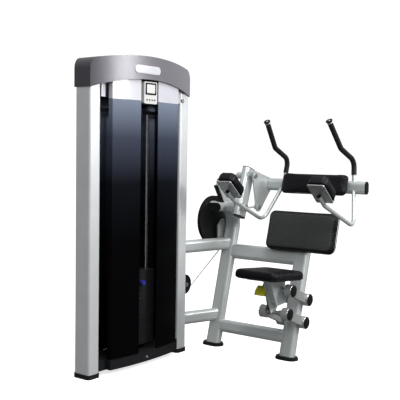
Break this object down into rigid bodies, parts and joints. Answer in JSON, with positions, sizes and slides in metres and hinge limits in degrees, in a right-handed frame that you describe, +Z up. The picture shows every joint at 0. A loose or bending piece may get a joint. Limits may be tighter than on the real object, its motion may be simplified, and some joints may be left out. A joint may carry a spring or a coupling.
{
  "type": "ab crunch machine",
  "caption": "A gym ab crunch machine with a weight tower, a leaning frame, a swinging arm with handles and pads, and a seat on parallel links.",
  "frame": {"origin": "the centre of the rear upright's foot, on the floor", "axes": "+Z up, +X toward the user's back, +Y toward the weight tower; the user faces -X"},
  "size_m": [1.4778, 1.1565, 1.797],
  "materials": {
    "frame_paint": "satin",
    "post_paint": "satin",
    "plate_paint": "satin",
    "black_paint": "satin",
    "shroud_black": "gloss",
    "band_paint": "gloss",
    "cap_paint": "satin",
    "black_rubber": "matte",
    "black_plastic": "matte",
    "bronze": "satin",
    "polished_steel": "polished",
    "zinc_steel": "satin",
    "iron": "matte",
    "vinyl": "matte",
    "woven_vinyl": "matte",
    "counter_white": "gloss",
    "button_grey": "matte",
    "lever_yellow": "gloss",
    "knob_blue": "gloss"
  },
  "bodies": {
    "frame": {"rear_upright": "frame_paint", "front_upright": "frame_paint", "upper_tube": "frame_paint", "lower_tube": "frame_paint", "connecting_tube_upper": "frame_paint", "connecting_tube_lower": "frame_paint", "feet": "black_rubber", "frame_end_caps": "black_plastic", "hub_bushes": "bronze", "stop_plate": "plate_paint", "back_pad": "woven_vinyl", "fixed_pins": "zinc_steel", "tower_upright_left": "post_paint", "tower_upright_right": "post_paint", "tower_base": "black_paint", "tower_crossmembers": "black_paint", "tower_cap": "cap_paint", "shroud_left": "shroud_black", "shroud_right": "shroud_black", "shroud_bands": "band_paint", "rear_shroud": "shroud_black", "guide_rods": "polished_steel", "stack_bumpers": "black_rubber", "weight_stack": "iron", "pulley_brackets": "black_paint", "cable": "zinc_steel", "counter_housing": "counter_white"},
    "head_pulley_inner_body": {"head_pulley_inner": "black_plastic"},
    "head_pulley_outer_body": {"head_pulley_outer": "black_plastic"},
    "low_pulley_body": {"low_pulley": "black_plastic"},
    "button_1_body": {"counter_button_1": "button_grey"},
    "button_2_body": {"counter_button_2": "button_grey"},
    "button_3_body": {"counter_button_3": "button_grey"},
    "button_4_body": {"counter_button_4": "button_grey"},
    "lifted_stack": {"lifted_plates": "iron", "lift_rod": "polished_steel"},
    "selector": {"selector_pin": "knob_blue"},
    "arm": {"pivot_shaft": "polished_steel", "cam": "black_paint", "cable_end": "zinc_steel", "swing_arm": "frame_paint", "arm_end_caps": "black_plastic", "lug_strip": "black_rubber", "arm_bolts": "zinc_steel", "brace_link": "frame_paint", "beam": "frame_paint", "handle_bars": "frame_paint", "grips": "black_rubber", "upper_pad": "vinyl", "elbow_plates": "plate_paint", "elbow_pads": "vinyl"},
    "lower_link_body": {"lower_links": "plate_paint", "lower_link_caps": "black_plastic"},
    "upper_link_body": {"upper_links": "plate_paint", "upper_link_caps": "black_plastic"},
    "seat_carrier": {"seat_bracket": "frame_paint", "seat_pins": "zinc_steel", "seat_pad": "vinyl"},
    "lever_body": {"seat_lever": "lever_yellow", "seat_lever_arm": "black_paint"}
  },
  "joints": [
    {"name": "arm_swing", "type": "hinge", "parent": "frame", "child": "arm", "pos_m": [0.07, 0, 0.905], "axis": [0, -1, 0], "range_deg": [0, 60]},
    {"name": "stack_lift", "type": "slide", "parent": "frame", "child": "lifted_stack", "axis": [0, 0, 1], "range_m": [0, 0.31]},
    {"name": "selector_pull", "type": "slide", "parent": "lifted_stack", "child": "selector", "axis": [0, -1, 0], "range_m": [0, 0.055]},
    {"name": "head_pulley_inner_turn", "type": "hinge", "parent": "frame", "child": "head_pulley_inner_body", "pos_m": [-0.619, 0.095, 1.57], "axis": [0, 1, 0], "range_deg": [0, 335]},
    {"name": "head_pulley_outer_turn", "type": "hinge", "parent": "frame", "child": "head_pulley_outer_body", "pos_m": [-0.309, 0.095, 1.57], "axis": [0, 1, 0], "range_deg": [0, 335]},
    {"name": "low_pulley_turn", "type": "hinge", "parent": "frame", "child": "low_pulley_body", "pos_m": [-0.2, 0.095, 0.413], "axis": [0, -1, 0], "range_deg": [0, 320]},
    {"name": "button_1_press", "type": "slide", "parent": "frame", "child": "button_1_body", "axis": [0, 1, 0], "range_m": [0, 0.0018], "stiffness_N_per_m": 300},
    {"name": "button_2_press", "type": "slide", "parent": "frame", "child": "button_2_body", "axis": [0, 1, 0], "range_m": [0, 0.0018], "stiffness_N_per_m": 300},
    {"name": "button_3_press", "type": "slide", "parent": "frame", "child": "button_3_body", "axis": [0, 1, 0], "range_m": [0, 0.0018], "stiffness_N_per_m": 300},
    {"name": "button_4_press", "type": "slide", "parent": "frame", "child": "button_4_body", "axis": [0, 1, 0], "range_m": [0, 0.0018], "stiffness_N_per_m": 300},
    {"name": "seat_adjust", "type": "hinge", "parent": "frame", "child": "lower_link_body", "pos_m": [0.06003, -0.56, 0.228], "axis": [0, 1, 0], "range_deg": [-22, 8]},
    {"name": "upper_link_turn", "type": "hinge", "parent": "frame", "child": "upper_link_body", "pos_m": [0.09557, -0.56, 0.363], "axis": [0, 1, 0], "range_deg": [-22, 8]},
    {"name": "carrier_turn", "type": "hinge", "parent": "lower_link_body", "child": "seat_carrier", "pos_m": [-0.13897, -0.56, 0.309], "axis": [0, 1, 0], "range_deg": [-8, 22]},
    {"name": "seat_release", "type": "hinge", "parent": "seat_carrier", "child": "lever_body", "pos_m": [-0.13897, -0.53, 0.309], "axis": [0, -1, 0], "range_deg": [0, 12], "stiffness_Nm_per_rad": 3}
  ],
  "couplings": [
    {"joint": "stack_lift", "follows": "arm_swing", "m_per_rad": 0.29},
    {"joint": "head_pulley_inner_turn", "follows": "arm_swing", "ratio": 5.47},
    {"joint": "head_pulley_outer_turn", "follows": "arm_swing", "ratio": 5.47},
    {"joint": "low_pulley_turn", "follows": "arm_swing", "ratio": 5.18},
    {"joint": "upper_link_turn", "follows": "seat_adjust", "ratio": 1},
    {"joint": "carrier_turn", "follows": "seat_adjust", "ratio": -1}
  ]
}
